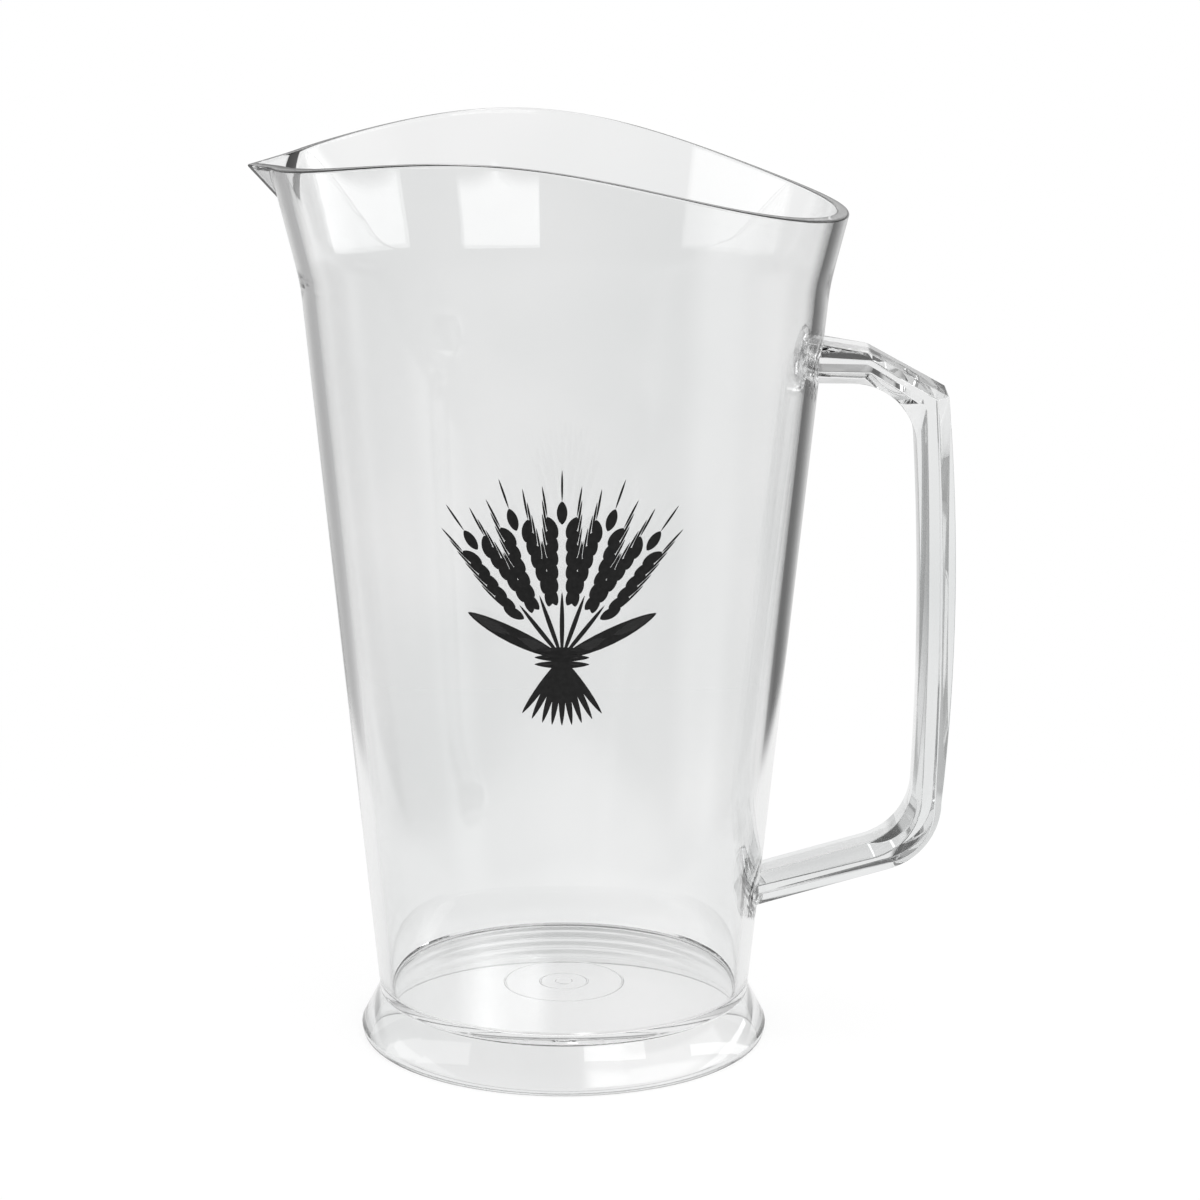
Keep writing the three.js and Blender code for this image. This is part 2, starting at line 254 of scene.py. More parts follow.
upper_top_z = LEDGE_Z - UPPER_ARM_DROP
upper_under_z = upper_top_z - UPPER_ARM_HEIGHT
lower_under_z = WALL_FOOT_Z + LOWER_ARM_LIFT
boss_heights = (upper_top_z - UPPER_ARM_HEIGHT / 2, lower_under_z + LOWER_ARM_HEIGHT / 2)


# Shape of the wall

def outer_radius(z):
    from_ledge = z - LEDGE_Z
    lean = WALL_LEAN if from_ledge < 0 else FLARE_LEAN
    bend = max(LEDGE_BEND - abs(from_ledge), 0) ** 2 / (4 * LEDGE_BEND)
    return LEDGE_RADIUS + lean * from_ledge + (FLARE_LEAN - WALL_LEAN) * bend


upper_root_x = outer_radius(upper_under_z) - ROOT_DEPTH
lower_root_x = outer_radius(lower_under_z) - ROOT_DEPTH


def wave_z(x):
    from_crest = x + CREST_OFFSET
    reach, drop = (
        (HANDLE_SIDE_REACH, HANDLE_SIDE_DROP) if from_crest > 0 else (BEAK_SIDE_REACH, BEAK_SIDE_DROP)
    )
    swing = min(abs(from_crest) / reach, 1)
    return CREST_Z - drop * (1 - math.cos(math.pi * swing)) / 2


def inner_radius(z):
    return outer_radius(z) - WALL_THICKNESS


beak_tip_z = CREST_Z
for _ in range(SETTLING_ROUNDS):
    beak_tip_reach = outer_radius(beak_tip_z) + BEAK_PROJECTION
    beak_tip_z = wave_z(-beak_tip_reach)
beak_root_z = beak_tip_z - BEAK_DEPTH
beak_root = Vector((-outer_radius(beak_root_z), 0, beak_root_z))
beak_tip = Vector((-beak_tip_reach, 0, beak_tip_z))
crease_x = -math.sqrt(outer_radius(beak_tip_z) ** 2 - BEAK_HALF_WIDTH ** 2)
beak_crease = Vector((crease_x, BEAK_HALF_WIDTH, beak_tip_z))
beak_normal = (beak_tip - beak_root).cross(beak_crease - beak_root).normalized()


# Polar form of the beak's flat side at a height: radius = level / (across cos a + along sin a)
def beak_plane(z, inset):
    level = beak_normal.dot(beak_root + Vector((inset, 0, 0))) - beak_normal.z * z
    return level, -beak_normal.x, beak_normal.y


# Where the beak's flat side, drawn on past its crease, comes nearest to the axis
def nearest_angle(z, inset):
    _, across, along = beak_plane(z, inset)
    return math.atan2(along, across)


def crease_angle(z, depth, inset):
    level, across, along = beak_plane(z, inset)
    reach = math.hypot(across, along) * (outer_radius(z) - depth)
    return nearest_angle(z, inset) - math.acos(max(min(level / reach, 1), -1))


def beak_radius(angle, z, inset):
    level, across, along = beak_plane(z, inset)
    return level / (across * math.cos(angle) + along * math.sin(angle))


# Columns of the blank slide sideways until one of them lies on the beak's crease
def slid_angle(angle, z, crease):
    eased = FAN * min(max((beak_root_z - z) / BEAK_EASE_HEIGHT, BEAK_LEAST_FAN), 1)
    edge = max(crease, eased)
    if angle < FAN:
        return edge * (1 - (1 - angle / FAN) ** BEAK_CROWDING)
    if angle < FAN_EASE:
        return edge + (FAN_EASE - edge) * ((angle - FAN) / (FAN_EASE - FAN)) ** BEAK_CROWDING
    return angle


# The larger of two values, with the corner between them rounded
def soft_larger(first, second, softness):
    near = max(softness - abs(first - second), 0) / softness
    return max(first, second) + near * near * softness / 4


# A point of the round blank, whose top edge is level, moved to the waved rim and the beak
def rim_point(x, y, blank_z):
    depth = outer_radius(blank_z) - math.hypot(x, y)
    share = min(max(depth / WALL_THICKNESS, 0), 1)
    inset = share * BEAK_WALL
    softness = BEAK_SOFTNESS[0] + (BEAK_SOFTNESS[1] - BEAK_SOFTNESS[0]) * share
    side = 1 if y >= 0 else -1
    angle = math.atan2(abs(y), -x)
    lowering = min((blank_z - LEDGE_Z) / (CREST_Z - 2 * RIM_ROUND - LEDGE_Z), 1)
    z = blank_z
    for _ in range(SETTLING_ROUNDS):
        crease = crease_angle(z, depth, inset)
        slid = slid_angle(angle, z, crease)
        radius = outer_radius(z) - depth
        if slid < nearest_angle(z, inset):
            radius = soft_larger(radius, beak_radius(slid, z, inset), softness)
        z = blank_z - lowering * (CREST_Z - wave_z(-radius * math.cos(slid)))
    return -radius * math.cos(slid), side * radius * math.sin(slid), z


# A point on the inside of the wall, swollen behind a handle root
def boss_point(x, y, z):
    radius = math.hypot(x, y)
    if x < 0 or radius > inner_radius(z) + INNER_FACE_MARGIN:
        return x, y, z
    for boss_z in boss_heights:
        away = (y / BOSS_HALF_WIDTH) ** 2 + ((z - boss_z) / BOSS_HALF_HEIGHT) ** 2
        if away < 1:
            swollen = 1 - BOSS_RISE * math.sqrt(1 - away) / radius
            return x * swollen, y * swollen, z
    return x, y, z


# Modelling steps

def deselect():
    if bpy.context.object and bpy.context.object.mode != "OBJECT":
        bpy.ops.object.mode_set(mode="OBJECT")
    bpy.ops.object.select_all(action="DESELECT")


def placed(point):
    return Vector((point[0] + AXIS_X, point[1], point[2])) * MM


# A chain of edges through points in X, Y and Z, drawn out of one point
def draw_chain(name, points):
    deselect()
    bpy.ops.mesh.primitive_plane_add(size=MM, location=placed(points[0]))
    piece = bpy.context.object
    piece.name = piece.data.name = name
    bpy.ops.object.transform_apply(location=True)
    bpy.ops.object.mode_set(mode="EDIT")
    bpy.ops.mesh.select_all(action="SELECT")
    bpy.ops.mesh.merge(type="CENTER")
    for before, after in zip(points, points[1:]):
        step = placed(after) - placed(before)
        bpy.ops.mesh.extrude_region_move(TRANSFORM_OT_translate={"value": step})
    return piece


# A closed profile of radius and height pairs, turned about the wall's axis
def turn(name, profile):
    piece = draw_chain(name, [(radius, 0, z) for radius, z in [*profile, profile[0]]])
    bpy.ops.mesh.select_all(action="SELECT")
    bpy.ops.mesh.spin(steps=TURN_STEPS, angle=2 * math.pi, center=placed((0, 0, 0)), axis=(0, 0, 1))
    tidy_mesh()
    return piece


def tidy_mesh():
    bpy.ops.mesh.select_all(action="SELECT")
    bpy.ops.mesh.remove_doubles(threshold=MERGE_DISTANCE * MM)
    bpy.ops.mesh.delete_loose()
    bpy.ops.mesh.normals_make_consistent(inside=False)
    bpy.ops.object.mode_set(mode="OBJECT")
    mesh = bpy.context.object.data
    if sum(face.center.dot(face.normal) * face.area for face in mesh.polygons) < 0:
        mesh.flip_normals()


def move_points(piece, rule):
    for vertex in piece.data.vertices:
        x, y, z = vertex.co / MM
        vertex.co = placed(rule(x - AXIS_X, y, z))


def apply_modifier(piece, kind, **settings):
    modifier = piece.modifiers.new(kind.title(), kind)
    for name, value in settings.items():
        setattr(modifier, name, value)
    bpy.context.view_layer.objects.active = piece
    bpy.ops.object.modifier_apply(modifier=modifier.name)


def select_only(piece):
    deselect()
    piece.select_set(True)
    bpy.context.view_layer.objects.active = piece


def shade(piece, angle):
    select_only(piece)
    bpy.ops.object.shade_smooth_by_angle(angle=math.radians(angle))


# Goes into edit mode with only those points or faces selected that a rule picks
def select_parts(piece, kind, rule):
    select_only(piece)
    bpy.ops.object.mode_set(mode="EDIT")
    bpy.ops.mesh.select_mode(type=kind)
    bpy.ops.mesh.select_all(action="DESELECT")
    bpy.ops.object.mode_set(mode="OBJECT")
    parts = piece.data.vertices if kind == "VERT" else piece.data.polygons
    for part in parts:
        part.select = rule(part)
    bpy.ops.object.mode_set(mode="EDIT")


def joined(pieces):
    deselect()
    for piece in pieces:
        piece.select_set(True)
    bpy.context.view_layer.objects.active = pieces[0]
    bpy.ops.object.join()
    return pieces[0]


def copy_of(piece):
    twin = piece.copy()
    twin.data = piece.data.copy()
    bpy.context.collection.objects.link(twin)
    return twin


def seat(piece, slot, *nodes):
    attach(piece, "root")
    if nodes:
        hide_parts(*nodes)


def spaced(start, end, steps):
    return [start + (end - start) * i / steps for i in range(steps + 1)]


def quarter_turn(steps):
    return spaced(0, math.pi / 2, steps)


# Pieces

def make_wall():
    bend = spaced(LEDGE_Z - LEDGE_BEND, LEDGE_Z + LEDGE_BEND, BEND_ROWS)
    keel_share = (beak_root_z - LEDGE_Z) / (beak_tip_z - LEDGE_Z)
    root_row = LEDGE_Z + (CREST_Z - 2 * RIM_ROUND - LEDGE_Z) * keel_share
    rim_z = CREST_Z - RIM_ROUND
    flare = spaced(bend[-1], root_row, FLARE_ROWS)[1:]
    flare += [*spaced(root_row, rim_z - RIM_SUPPORT, FLARE_ROWS)[1:], rim_z]
    root_rows = []
    boss_reach = BOSS_HALF_HEIGHT + BOSS_MARGIN
    for boss_z in reversed(boss_heights):
        root_rows += spaced(boss_z - boss_reach, boss_z + boss_reach, BOSS_ROWS)
    edge_out = outer_radius(rim_z) - RIM_ROUND
    edge_in = edge_out - (WALL_THICKNESS - 2 * RIM_ROUND)
    groove_radius, groove_z = WALL_FOOT_RADIUS - GROOVE_ROUND, WALL_FOOT_Z + GROOVE_ROUND
    groove = [
        (groove_radius + GROOVE_ROUND * math.sin(a), groove_z - GROOVE_ROUND * math.cos(a))
        for a in quarter_turn(GROOVE_STEPS)
    ]
    outside = [(outer_radius(z), z) for z in [*root_rows, *bend, *flare]]
    rim = [
        (edge_out + RIM_ROUND * math.cos(a), rim_z + RIM_ROUND * math.sin(a))
        for a in quarter_turn(RIM_STEPS)[1:]
    ]
    rim += [
        (edge_in - RIM_ROUND * math.sin(a), rim_z + RIM_ROUND * math.cos(a))
        for a in quarter_turn(RIM_STEPS)
    ]
    inside_rows = [*root_rows, *bend, *flare[:-1]]
    inside = [(inner_radius(z), z) for z in [WALL_FOOT_Z, floor_edge_z, *inside_rows]]
    wall = turn("clear_wall", [*groove, *outside, *rim, *reversed(inside)])
    move_points(wall, lambda x, y, z: rim_point(x, y, z) if z > LEDGE_Z else boss_point(x, y, z))
    return wall


def make_floor():
    profile = [(0, FLOOR_UNDER_Z - GATE_RELIEF), (GATE_RADIUS, FLOOR_UNDER_Z - GATE_RELIEF)]
    profile += [(GATE_RADIUS + GATE_RELIEF, FLOOR_UNDER_Z)]
    for radius in FLOOR_RINGS:
        profile += [
            (radius + FLOOR_RING_WIDTH / 2 * side, FLOOR_UNDER_Z - FLOOR_RING_RELIEF * (1 - side * side))
            for side in spaced(-1, 1, RING_STEPS)
        ]
    profile += [(inner_radius(z) - BOND_GAP, z) for z in (FLOOR_UNDER_Z, WALL_FOOT_Z, floor_edge_z)]
    corner = inner_radius(floor_edge_z) - BOND_GAP - FLOOR_FILLET
    profile += [
        (corner + FLOOR_FILLET * math.cos(a), floor_edge_z - FLOOR_FILLET * math.sin(a))
        for a in quarter_turn(FILLET_STEPS)[1:]
    ]
    return turn("clear_floor", [*profile, (0, floor_top_z)])


def make_foot():
    tread_outer = WALL_FOOT_RADIUS + FOOT_FLARE - LIP_INSET
    tread_inner = tread_outer - TREAD_WIDTH
    lip = [
        (tread_outer + LIP_INSET * math.sin(a), LIP_HEIGHT * (1 - math.cos(a)))
        for a in quarter_turn(CORNER_STEPS)
    ]
    top_z = WALL_FOOT_Z - BOND_GAP
    groove_radius, groove_z = WALL_FOOT_RADIUS - GROOVE_ROUND, top_z - GROOVE_ROUND
    groove = [
        (groove_radius + GROOVE_ROUND * math.cos(a), groove_z + GROOVE_ROUND * math.sin(a))
        for a in quarter_turn(GROOVE_STEPS)
    ]
    profile = [(tread_inner, 0), *lip, *groove, (inner_radius(WALL_FOOT_Z), top_z)]
    return turn("clear_foot", [*profile, (inner_radius(FLOOR_UNDER_Z), FLOOR_UNDER_Z)])


# The faces that meet a neighbour are one with it: they get the second material
def bond_faces(piece, rule):
    for face in piece.data.polygons:
        x, y, z = face.center / MM
        face.material_index = int(rule(math.hypot(x - AXIS_X, y), z))


# Points of an arc that rounds a corner between its two neighbours in side view
def rounded(before, corner, after, radius, steps=CORNER_STEPS):
    back = (before - corner).normalized()
    onward = (after - corner).normalized()
    half = math.acos(back.dot(onward)) / 2
    centre = corner + (back + onward).normalized() * radius / math.sin(half)
    start = corner + back * radius / math.tan(half) - centre
    sweep = math.copysign(math.pi - 2 * half, onward.x * back.y - onward.y * back.x)
    return [
        centre + Vector((
            start.x * math.cos(a) - start.y * math.sin(a),
            start.x * math.sin(a) + start.y * math.cos(a),
        ))
        for a in spaced(0, sweep, steps)
    ]


def bowed(start, end, bow):
    points = []
    for i in range(1, BOW_STEPS):
        share = i / BOW_STEPS
        points.append(start.lerp(end, share) + Vector((4 * bow * share * (1 - share), 0)))
    return points


# The outline of the handle's core, from the upper root round the outside to the lower one and back inside
def core_outline():
    grip_inner_x = outer_radius(upper_under_z) + FINGER_ROOM
    grip_outer_x = grip_inner_x + GRIP_THICKNESS
    upper_wall_x, lower_wall_x = outer_radius(upper_top_z), outer_radius(lower_under_z)

    def upper_edge(x):
        return Vector((x, upper_top_z - UPPER_ARM_FALL * (x - upper_wall_x)))

    def lower_edge(x, lift=0):
        return Vector((x, lower_under_z + LOWER_ARM_RISE * (x - lower_wall_x) + lift))

    mitre = upper_edge(grip_outer_x - THUMB_RUN)
    top_root, top_inner_root = upper_edge(upper_root_x), Vector((upper_root_x, upper_under_z))
    top_corner = mitre + Vector((THUMB_RUN, -THUMB_FALL * THUMB_RUN))
    outer_corner = lower_edge(grip_outer_x + GRIP_OUTER_LEAN)
    low_root, low_inner_root = lower_edge(lower_root_x), lower_edge(lower_root_x, LOWER_ARM_HEIGHT)
    inner_corner = lower_edge(grip_inner_x + GRIP_INNER_LEAN, LOWER_ARM_HEIGHT)
    inner_top = Vector((grip_inner_x, upper_under_z))
    outer_turn = rounded(top_corner, outer_corner, low_root, OUTER_CORNER_RADIUS)
    inner_turn = rounded(low_inner_root, inner_corner, inner_top, INNER_CORNER_RADIUS)
    inner_top_turn = rounded(inner_corner, inner_top, top_inner_root, INNER_TOP_RADIUS)
    outer_edge = [
        top_root,
        *rounded(top_root, mitre, top_corner, MITRE_RADIUS),
        top_corner,
        *bowed(top_corner, outer_turn[0], GRIP_OUTER_BOW),
        *outer_turn,
        low_root,
    ]
    inner_edge = [
        low_inner_root,
        *inner_turn,
        *bowed(inner_turn[-1], inner_top_turn[0], GRIP_INNER_BOW),
        *inner_top_turn,
        top_inner_root,
    ]
    return outer_edge, inner_edge


# The outline of a flat side, with as many points in the same order
def side_outline():
    top_mitre, top_corner, outer_corner = (
        Vector(corner) for corner in (SIDE_TOP_MITRE, SIDE_TOP_CORNER, SIDE_OUTER_CORNER)
    )
    inner_corner, thumb_corner, under_mitre = (
        Vector(corner) for corner in (SIDE_INNER_CORNER, SIDE_THUMB_CORNER, SIDE_UNDER_MITRE)
    )

    def root(corner, root_x, rise):
        return Vector((root_x, corner.y + rise * (root_x - corner.x)))

    top_root = root(top_mitre, upper_root_x, -SIDE_TOP_FALL)
    top_inner_root = root(under_mitre, upper_root_x, -SIDE_UNDER_FALL)
    low_root = root(outer_corner, lower_root_x, SIDE_OUTER_RISE)
    low_inner_root = root(inner_corner, lower_root_x, SIDE_INNER_RISE)
    outer_turn = rounded(top_corner, outer_corner, low_root, SIDE_OUTER_RADIUS)
    inner_turn = rounded(low_inner_root, inner_corner, thumb_corner, SIDE_INNER_RADIUS)
    thumb_turn = rounded(inner_corner, thumb_corner, under_mitre, SIDE_MITRE_RADIUS, MITRE_STEPS)
    under_turn = rounded(thumb_corner, under_mitre, top_inner_root, SIDE_MITRE_RADIUS, MITRE_STEPS)
    thumb_shares = spaced(0, 1, CORNER_STEPS - len(thumb_turn) - len(under_turn) + 2)[1:-1]
    return [
        top_root,
        *rounded(top_root, top_mitre, top_corner, SIDE_MITRE_RADIUS),
        top_corner,
        *bowed(top_corner, outer_turn[0], SIDE_OUTER_BOW),
        *outer_turn,
        low_root,
        low_inner_root,
        *inner_turn,
        *bowed(inner_turn[-1], thumb_turn[0], SIDE_INNER_BOW),
        *thumb_turn,
        *(thumb_turn[-1].lerp(under_turn[0], share) for share in thumb_shares),
        *under_turn,
        top_inner_root,
    ]


# A measure of the handle that changes evenly from its top to its foot
def along_handle(z, measures):
    top, foot = measures
    return foot + (top - foot) * (z - HANDLE_FOOT_Z) / (HANDLE_TOP_Z - HANDLE_FOOT_Z)


# Four outlines, two of the flat sides and two of the core between the chamfers, bridged and closed
def make_handle():
    side = [(x, along_handle(z, HANDLE_HALF_WIDTHS), z) for x, z in side_outline()]
    core = []
    for edge, depths in zip(core_outline(), (OUTER_CHAMFER_DEPTHS, INNER_CHAMFER_DEPTHS)):
        core += [(x, along_handle(z, HANDLE_HALF_WIDTHS) - along_handle(z, depths), z) for x, z in edge]
    loops = [[(x, hand * y, z) for x, y, z in outline] for hand in (-1, 1) for outline in (side, core)]
    pieces = []
    for loop in loops:
        pieces.append(draw_chain("clear_handle", [*loop, loop[0]]))
        bpy.ops.mesh.select_all(action="SELECT")
        bpy.ops.mesh.remove_doubles(threshold=MERGE_DISTANCE * MM)
    handle = joined(pieces)
    beyond = 2 * HANDLE_HALF_WIDTHS[0]
    within = HANDLE_HALF_WIDTHS[1] - OUTER_CHAMFER_DEPTHS[1] / 2
    for low_y, high_y in ((-beyond, 0), (-within, within), (0, beyond)):
        select_parts(handle, "VERT", lambda vertex: low_y < vertex.co.y / MM < high_y)
        bpy.ops.mesh.bridge_edge_loops()
    for low_y, high_y in ((-beyond, -within), (within, beyond)):
        select_parts(handle, "VERT", lambda vertex: low_y < vertex.co.y / MM < high_y)
        bpy.ops.mesh.edge_face_add()
    tidy_mesh()
    apply_modifier(
        handle, "BEVEL", width=EDGE_ROUND * MM, segments=EDGE_SEGMENTS,
        limit_method="ANGLE", angle_limit=math.radians(EDGE_ANGLE),
    )
    return handle


# The wall as a full cone, smaller by the sink, that trims the handle's roots
def wall_blank():
    low_z, high_z = WALL_FOOT_Z, LEDGE_Z - LEDGE_BEND
    deselect()
    bpy.ops.mesh.primitive_cone_add(
        vertices=TURN_STEPS,
        radius1=(outer_radius(low_z) - ROOT_SINK) * MM,
        radius2=(outer_radius(high_z) - ROOT_SINK) * MM,
        depth=(high_z - low_z) * MM,
        location=placed((0, 0, (low_z + high_z) / 2)),
    )
    return bpy.context.object


# Cuts one piece by another, and the faces of the cut are bonded faces
def cut(piece, cutter):
    for face in cutter.data.polygons:
        face.material_index = 1
    apply_modifier(piece, "BOOLEAN", operation="DIFFERENCE", object=cutter, solver="EXACT")


# Draws the edge of each root back, so that a groove is left between it and the wall
def groove_roots(handle):
    select_parts(handle, "FACE", lambda face: face.material_index == 1)
    bpy.ops.mesh.inset(thickness=ROOT_GROOVE * MM, use_even_offset=True)
    bpy.ops.object.mode_set(mode="OBJECT")
    kept = {index for face in handle.data.polygons if face.select for index in face.vertices}
    drawn_back = set()
    for face in handle.data.polygons:
        if face.material_index == 1 and not face.select:
            face.material_index = 0
            drawn_back.update(face.vertices)
    for index in drawn_back - kept:
        handle.data.vertices[index].co.x += ROOT_GROOVE * MM


# Takes out the hair-thin faces that the cut leaves round a pocket of the wall
def clean_pockets(wall):
    def near_root(vertex):
        x, y, z = vertex.co / MM
        outside = x > AXIS_X and math.hypot(x - AXIS_X, y) > outer_radius(z) - POCKET_RIM
        return outside and abs(y) < BOSS_HALF_WIDTH and z < LEDGE_Z - LEDGE_BEND

    select_parts(wall, "VERT", near_root)
    bpy.ops.mesh.remove_doubles(threshold=HAIR * MM)
    bpy.ops.mesh.dissolve_degenerate(threshold=HAIR * MM)
    bpy.ops.object.mode_set(mode="OBJECT")


# Both roots stand in shallow pockets of the wall
def join_handle(wall, handle):
    blank = wall_blank()
    cut(handle, blank)
    groove_roots(handle)
    tool = copy_of(handle)
    cut(wall, tool)
    clean_pockets(wall)
    for spare in (blank, tool):
        bpy.data.objects.remove(spare)


# A pointed leaf, a millimetre wide and tall, that stands on its lower tip
def leaf_blank():
    deselect()
    bpy.ops.mesh.primitive_circle_add(
        vertices=LEAF_POINTS, radius=MM / 2, fill_type="TRIFAN",
        rotation=(math.pi / 2, 0, 0), location=(0, 0, MM / 2),
    )
    bpy.ops.object.transform_apply()
    leaf = bpy.context.object
    for vertex in leaf.data.vertices:
        from_middle = 2 * vertex.co.z / MM - 1
        vertex.co.x *= max(1 - from_middle ** 2, 0) ** LEAF_POINTEDNESS
    return leaf


# A copy of the leaf with its tip at a place of the print, leaning to the right by some degrees
def stamp(leaf, across, up, lean, width, length):
    twin = copy_of(leaf)
    turned = Matrix.Rotation(math.radians(lean), 4, "Y") @ Matrix.Diagonal((width, 1, length, 1))
    twin.data.transform(Matrix.Translation(placed((across, 0, up))) @ turned)
    return twin


def ahead(across, up, lean, distance):
    return across + math.sin(math.radians(lean)) * distance, up + math.cos(math.radians(lean)) * distance


def barley_ear(leaf, lean):
    stalk = stamp(leaf, 0, TIE_HEIGHT, lean, STEM_WIDTH, EAR_START + GRAIN_PITCH)
    pieces = [stalk]
    for pair in range(GRAIN_PAIRS):
        middle = ahead(0, TIE_HEIGHT, lean, EAR_START + pair * GRAIN_PITCH)
        for side in (-1, 1):
            root = ahead(*middle, lean + 90, side * GRAIN_ASIDE)
            grain_lean = lean + side * GRAIN_LEAN
            tip = ahead(*root, grain_lean, GRAIN_LENGTH)
            pieces.append(stamp(leaf, *root, grain_lean, GRAIN_WIDTH, GRAIN_LENGTH))
            pieces.append(stamp(leaf, *tip, lean + side * AWN_LEAN, AWN_WIDTH, AWN_LENGTH))
    top = ahead(0, TIE_HEIGHT, lean, EAR_START + GRAIN_PAIRS * GRAIN_PITCH)
    tip = ahead(*top, lean, GRAIN_LENGTH)
    pieces.append(stamp(leaf, *top, lean, GRAIN_WIDTH, GRAIN_LENGTH))
    pieces.append(stamp(leaf, *tip, lean, AWN_WIDTH, AWN_LENGTH))
    return pieces


def wrapped(across, _, up):
    radius = outer_radius(PRINT_Z + up) + PRINT_LIFT
    angle = across / radius + math.radians(PRINT_FACING)
    return radius * math.sin(angle), -radius * math.cos(angle), PRINT_Z + up


# The sheaf is laid out flat, wrapped round the wall and given its thickness
def make_print():
    leaf = leaf_blank()
    pieces = []
    for lean in EAR_LEANS:
        pieces += barley_ear(leaf, lean)
    for lean in STRAW_LEANS:
        pieces.append(stamp(leaf, 0, TIE_HEIGHT, 180 - lean, STRAW_WIDTH, STRAW_LENGTH))
    for side in (-1, 1):
        pieces.append(stamp(leaf, 0, TIE_HEIGHT, side * BLADE_LEAN, BLADE_WIDTH, BLADE_LENGTH))
    for band in (-1, 0, 1):
        height = TIE_HEIGHT + band * TIE_PITCH
        pieces.append(stamp(leaf, -TIE_LENGTH / 2, height, 90, TIE_WIDTH, TIE_LENGTH))
    bpy.data.objects.remove(leaf)
    sheaf = joined(pieces)
    sheaf.name = sheaf.data.name = "printed_sheaf"
    move_points(sheaf, wrapped)
    apply_modifier(sheaf, "SOLIDIFY", thickness=PRINT_THICKNESS * MM, offset=1)
    return sheaf


# Materials

# Feeds a socket with another socket's output or with a plain value
def feed(tree, socket, value):
    if isinstance(value, bpy.types.NodeSocket):
        tree.links.new(value, socket)
    else:
        socket.default_value = value


def grey(tone):
    return tone, tone, tone, 1


# Faint unevenness that every moulded piece shares
def moulding_marks():
    group = bpy.data.node_groups.new("moulding_marks", "ShaderNodeTree")
    group.interface.new_socket("Ripple Scale", in_out="INPUT", socket_type="NodeSocketFloat")
    group.interface.new_socket("Depth", in_out="INPUT", socket_type="NodeSocketFloat")
    group.interface.new_socket("Tint", in_out="OUTPUT", socket_type="NodeSocketColor")
    group.interface.new_socket("Haze", in_out="OUTPUT", socket_type="NodeSocketFloat")
    group.interface.new_socket("Ripple", in_out="OUTPUT", socket_type="NodeSocketFloat")
    nodes, links = group.nodes, group.links
    outside, inside = nodes.new("NodeGroupInput"), nodes.new("NodeGroupOutput")
    coordinates = nodes.new("ShaderNodeTexCoord")

    def noise(scale, detail):
        node = nodes.new("ShaderNodeTexNoise")
        feed(group, node.inputs["Scale"], scale)
        node.inputs["Detail"].default_value = detail
        links.new(coordinates.outputs["Object"], node.inputs["Vector"])
        return node

    clouds = nodes.new("ShaderNodeValToRGB")
    for element, place, tint in zip(clouds.color_ramp.elements, CLOUD_SPAN, (CLOUDED_TINT, CLEAR_TINT)):
        element.position = place
        element.color = tint
    links.new(noise(CLOUD_SCALE, CLOUD_DETAIL).outputs[0], clouds.inputs[0])
    deepened = nodes.new("ShaderNodeGamma")
    links.new(clouds.outputs[0], deepened.inputs["Color"])
    links.new(outside.outputs["Depth"], deepened.inputs["Gamma"])
    links.new(deepened.outputs[0], inside.inputs["Tint"])
    smear = nodes.new("ShaderNodeMapRange")
    smear.inputs["From Min"].default_value, smear.inputs["From Max"].default_value = SMEAR_SPAN
    smear.inputs["To Max"].default_value = MOST_HAZE
    links.new(noise(SMEAR_SCALE, SMEAR_DETAIL).outputs[0], smear.inputs["Value"])
    links.new(smear.outputs[0], inside.inputs["Haze"])
    waves = noise(outside.outputs["Ripple Scale"], RIPPLE_DETAIL)
    links.new(waves.outputs[0], inside.inputs["Ripple"])
    return group


def clear_plastic(name, marks, depth, ripple_scale, ripple_depth):
    material = bpy.data.materials.new(name)
    material.use_nodes = True
    nodes, links = material.node_tree.nodes, material.node_tree.links
    shader = nodes["Principled BSDF"]
    shader.inputs["Transmission Weight"].default_value = 1
    shader.inputs["IOR"].default_value = PLASTIC_IOR
    uneven = nodes.new("ShaderNodeGroup")
    uneven.node_tree = marks
    uneven.inputs["Ripple Scale"].default_value = ripple_scale
    uneven.inputs["Depth"].default_value = depth
    bump = nodes.new("ShaderNodeBump")
    bump.inputs["Distance"].default_value = ripple_depth * MM
    links.new(uneven.outputs["Tint"], shader.inputs["Base Color"])
    links.new(uneven.outputs["Haze"], shader.inputs["Roughness"])
    links.new(uneven.outputs["Ripple"], bump.inputs["Height"])
    links.new(bump.outputs[0], shader.inputs["Normal"])
    lamp_pass = nodes.new("ShaderNodeBsdfTransparent")
    lamp_pass.inputs["Color"].default_value = LAMP_PASS
    light_path = nodes.new("ShaderNodeLightPath")
    mix = nodes.new("ShaderNodeMixShader")
    links.new(light_path.outputs["Is Shadow Ray"], mix.inputs[0])
    links.new(shader.outputs[0], mix.inputs[1])
    links.new(lamp_pass.outputs[0], mix.inputs[2])
    links.new(mix.outputs[0], nodes["Material Output"].inputs["Surface"])
    return material


# A bonded face inside the plastic, where light goes straight on
def bond_line(marks):
    material = bpy.data.materials.new("bond_line")
    material.use_nodes = True
    nodes, links = material.node_tree.nodes, material.node_tree.links
    nodes.remove(nodes["Principled BSDF"])
    clear = nodes.new("ShaderNodeBsdfTransparent")
    uneven = nodes.new("ShaderNodeGroup")
    uneven.node_tree = marks
    uneven.inputs["Depth"].default_value = BOND_DEPTH
    links.new(uneven.outputs["Tint"], clear.inputs["Color"])
    links.new(clear.outputs[0], nodes["Material Output"].inputs["Surface"])
    return material


